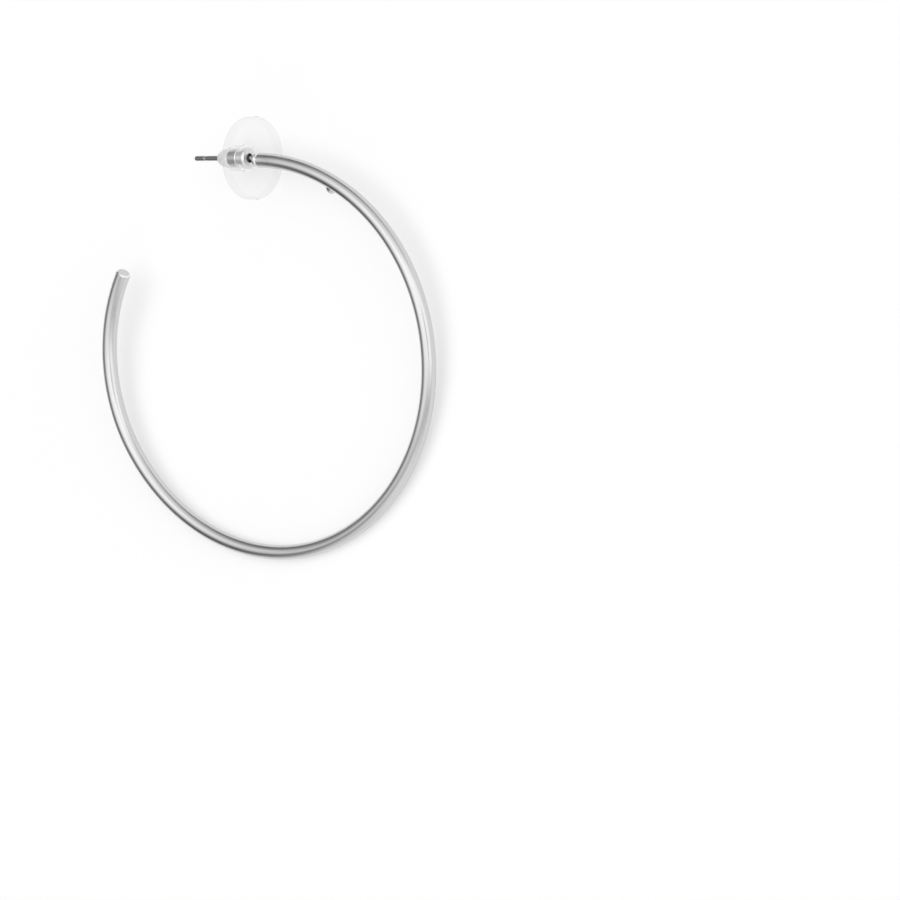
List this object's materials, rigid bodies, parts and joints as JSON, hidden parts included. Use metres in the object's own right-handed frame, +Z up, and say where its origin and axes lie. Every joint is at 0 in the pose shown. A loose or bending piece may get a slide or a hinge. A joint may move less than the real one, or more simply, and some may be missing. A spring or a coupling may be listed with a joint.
{
  "type": "hoop earring",
  "caption": "Open hoop of round silver-coloured wire with a soldered post and a bullet clutch in a clear comfort disc, lying on its side.",
  "frame": {"origin": "middle of the footprint, on the surface that the hoop lies on", "axes": "+Z up out of the surface, the hoop on its side; +Y from the far side of the hoop toward the post's end; -X roughly along the post toward its tip"},
  "size_m": [0.057, 0.0608, 0.0115],
  "materials": {
    "hoop_metal": "silver-coloured, softly polished with fine lengthwise streaks",
    "clear_plastic": "clear moulded plastic, glossy",
    "clutch_metal": "turned metal, fine turning marks"
  },
  "bodies": {
    "earring": {"hoop": "hoop_metal"},
    "clutch": {"clutch_disc": "clear_plastic", "clutch_bullet": "clutch_metal"}
  },
  "joints": [
    {"name": "clutch_slide", "type": "slide", "parent": "earring", "child": "clutch", "axis": [-0.9986, 0.0053, -0.0519], "range_m": [0, 0.0115]}
  ]
}
